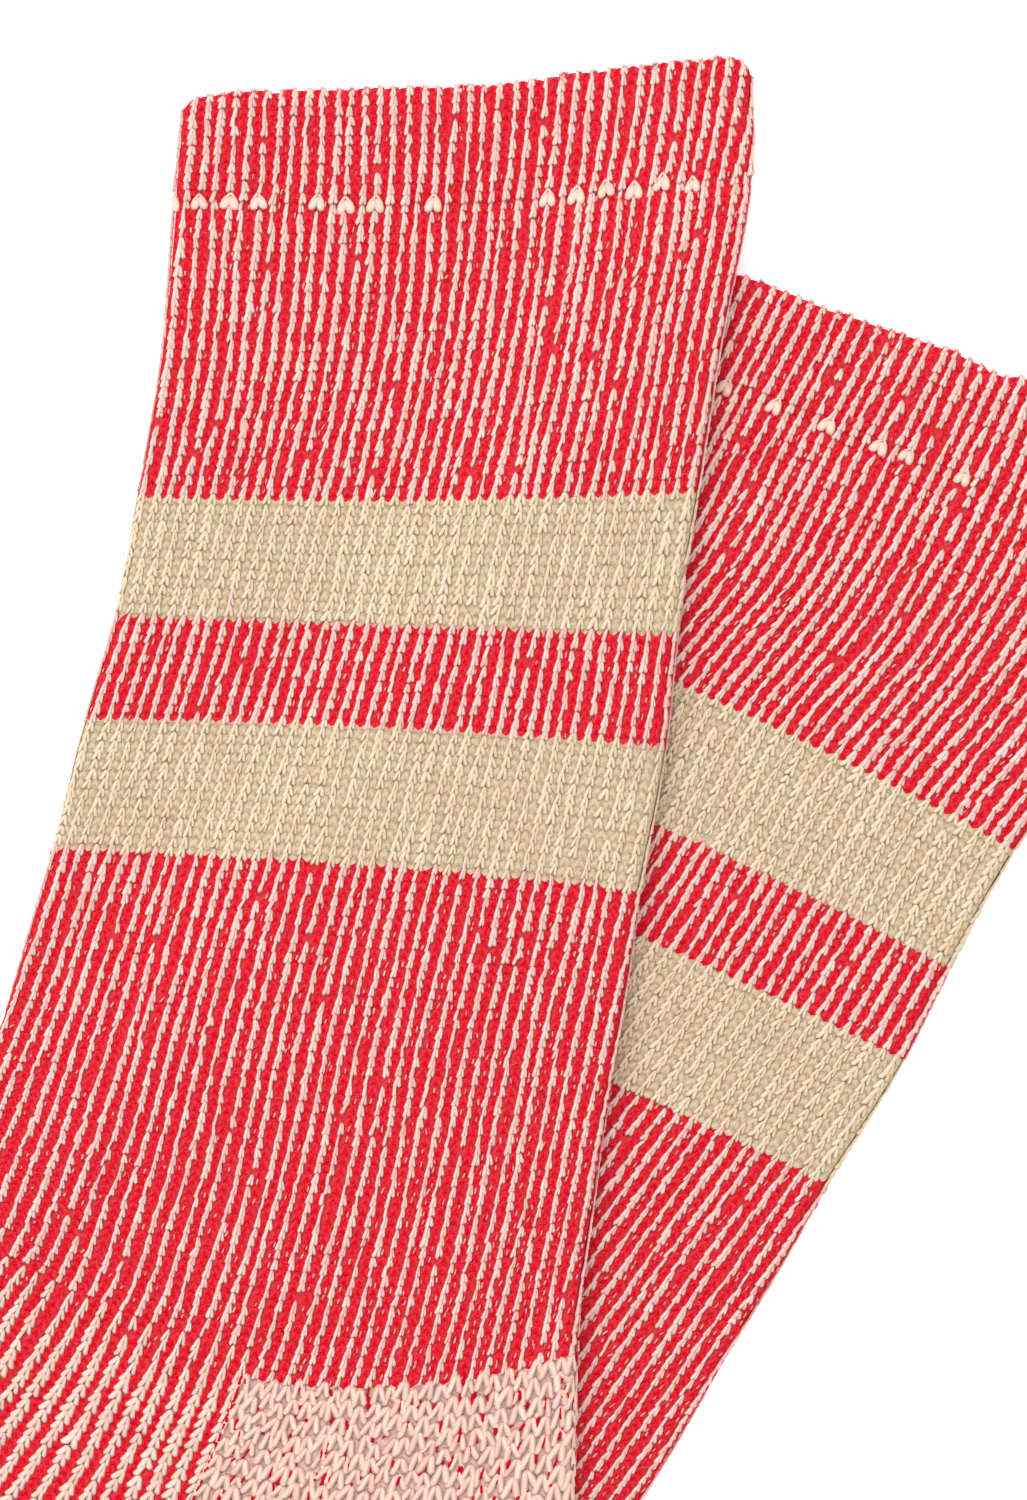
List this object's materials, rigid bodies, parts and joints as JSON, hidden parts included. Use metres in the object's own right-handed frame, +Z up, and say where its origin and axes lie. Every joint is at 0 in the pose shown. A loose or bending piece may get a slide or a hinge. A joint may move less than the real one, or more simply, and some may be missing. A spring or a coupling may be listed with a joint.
{
  "type": "pair of ribbed crew socks",
  "caption": "Striped rib-knit crew socks laid flat on their sides, one lying across the other, cuffs open and toes closed",
  "frame": {"origin": "middle of the pair's footprint on the surface it lies on", "axes": "+Z up out of the surface, +Y up the leg of the upper sock towards its cuff, +X towards the cuff of the sock underneath"},
  "size_m": [0.3554, 0.3344, 0.01],
  "materials": {
    "knit_upper": "red and cream cotton rib knit with beige stripes and cream heel, sole and toe",
    "knit_under": "red and cream cotton rib knit with beige stripes and cream heel, sole and toe"
  },
  "bodies": {
    "root": {"sock_upper": "knit_upper", "sock_under": "knit_under"}
  },
  "joints": []
}
